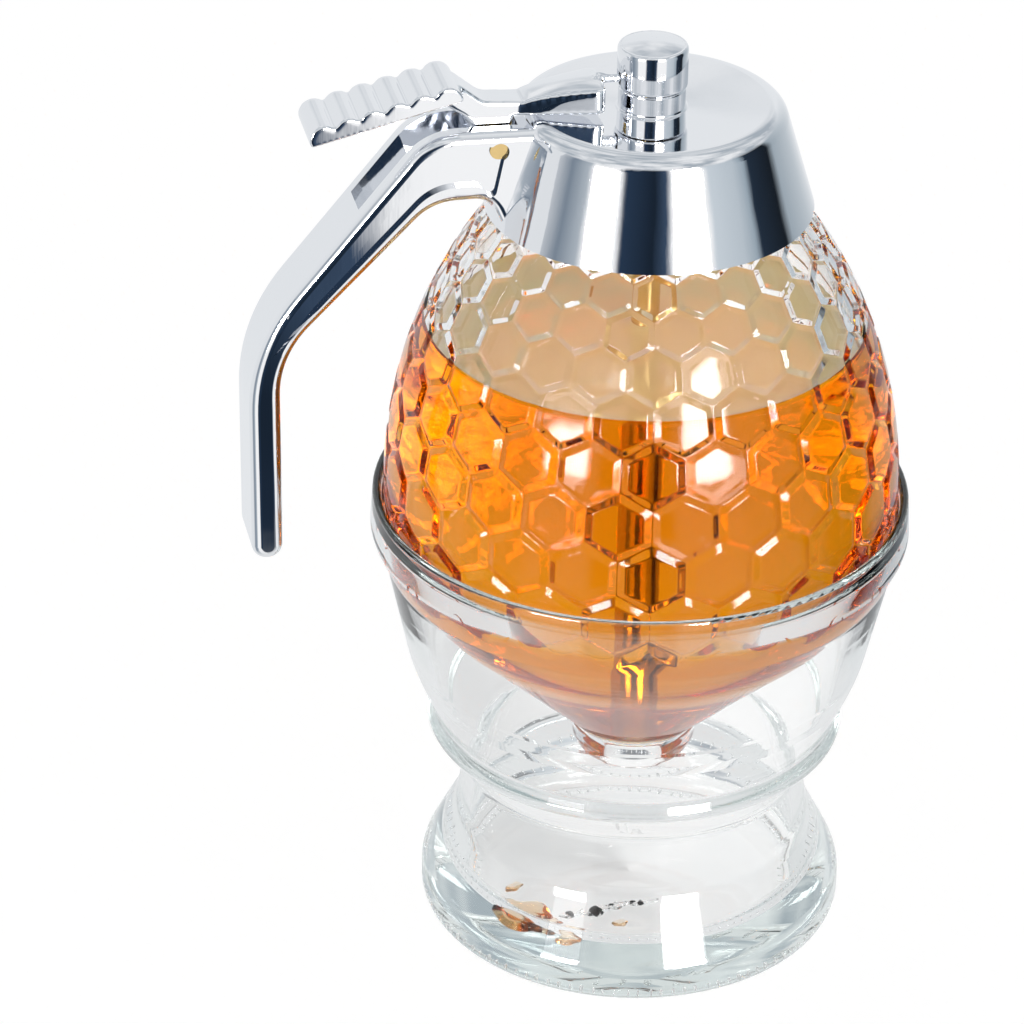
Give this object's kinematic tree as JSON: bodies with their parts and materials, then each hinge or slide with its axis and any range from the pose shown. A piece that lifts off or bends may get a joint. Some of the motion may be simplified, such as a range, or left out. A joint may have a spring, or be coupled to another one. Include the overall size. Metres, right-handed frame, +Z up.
{
  "type": "honey dispenser",
  "caption": "Egg-shaped honeycomb glass jar of honey in a clear glass stand, with a chrome lid, handle, thumb lever and lifting stopper rod.",
  "frame": {"origin": "jar axis at the plane that the stand's foot rests on", "axes": "+Z up along the jar's axis; the handle points along -X; +Y completes the right-handed frame"},
  "size_m": [0.1051, 0.0848, 0.1523],
  "materials": {
    "stand_glass": "clear pressed glass, smooth",
    "jar_glass": "clear pressed glass with a honeycomb relief",
    "honey": "clear amber honey, glossy surface",
    "chrome": "polished chrome plate on a zinc casting",
    "brass": "bright brass",
    "stopper": "pale soft silicone"
  },
  "bodies": {
    "base": {"stand": "stand_glass", "jar": "jar_glass", "honey": "honey", "lid": "chrome", "pivot_pin": "brass"},
    "lever": {"lever": "chrome"},
    "plunger": {"knob": "chrome", "rod": "brass", "stopper": "stopper"}
  },
  "joints": [
    {"name": "lever_press", "type": "hinge", "parent": "base", "child": "lever", "pos_m": [-0.0245, 0, 0.1384], "axis": [0, -1, 0], "range_deg": [0, 12], "stiffness_Nm_per_rad": 0.3, "springref_deg": -14.32},
    {"name": "plunger_lift", "type": "slide", "parent": "base", "child": "plunger", "axis": [0, 0, 1], "range_m": [0, 0.0043]}
  ],
  "couplings": [
    {"joint": "plunger_lift", "follows": "lever_press", "m_per_rad": 0.0203}
  ]
}
